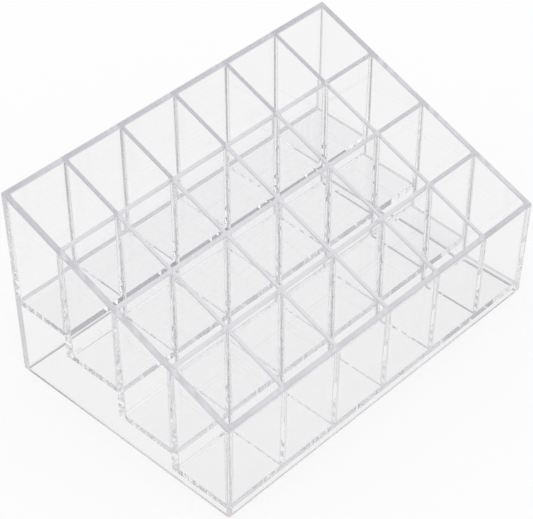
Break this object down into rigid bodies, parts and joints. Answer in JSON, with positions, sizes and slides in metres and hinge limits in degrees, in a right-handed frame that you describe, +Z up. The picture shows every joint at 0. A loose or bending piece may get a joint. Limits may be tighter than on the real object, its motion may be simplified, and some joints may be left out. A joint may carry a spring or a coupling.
{
  "type": "vanity organizer",
  "caption": "Clear stepped organizer with a sloping rim and a grid of upright compartments for lipsticks and small tubes, open at the top.",
  "frame": {"origin": "middle of the footprint on the table, under the centre of the overall box", "axes": "+X along the rows to the right seen from the front, +Y from the low front to the high back, +Z up"},
  "size_m": [0.145, 0.0956, 0.0737],
  "materials": {
    "clear_sheet": "clear colourless acrylic, polished"
  },
  "bodies": {
    "root": {"left_side_panel": "clear_sheet", "right_side_panel": "clear_sheet", "back_panel": "clear_sheet", "front_panel": "clear_sheet", "row_divider_1": "clear_sheet", "row_divider_2": "clear_sheet", "row_divider_3": "clear_sheet", "cross_divider_1": "clear_sheet", "cross_divider_2": "clear_sheet", "cross_divider_3": "clear_sheet", "cross_divider_4": "clear_sheet", "cross_divider_5": "clear_sheet", "floor_1": "clear_sheet", "floor_2": "clear_sheet", "floor_3": "clear_sheet", "floor_4": "clear_sheet"}
  },
  "joints": []
}
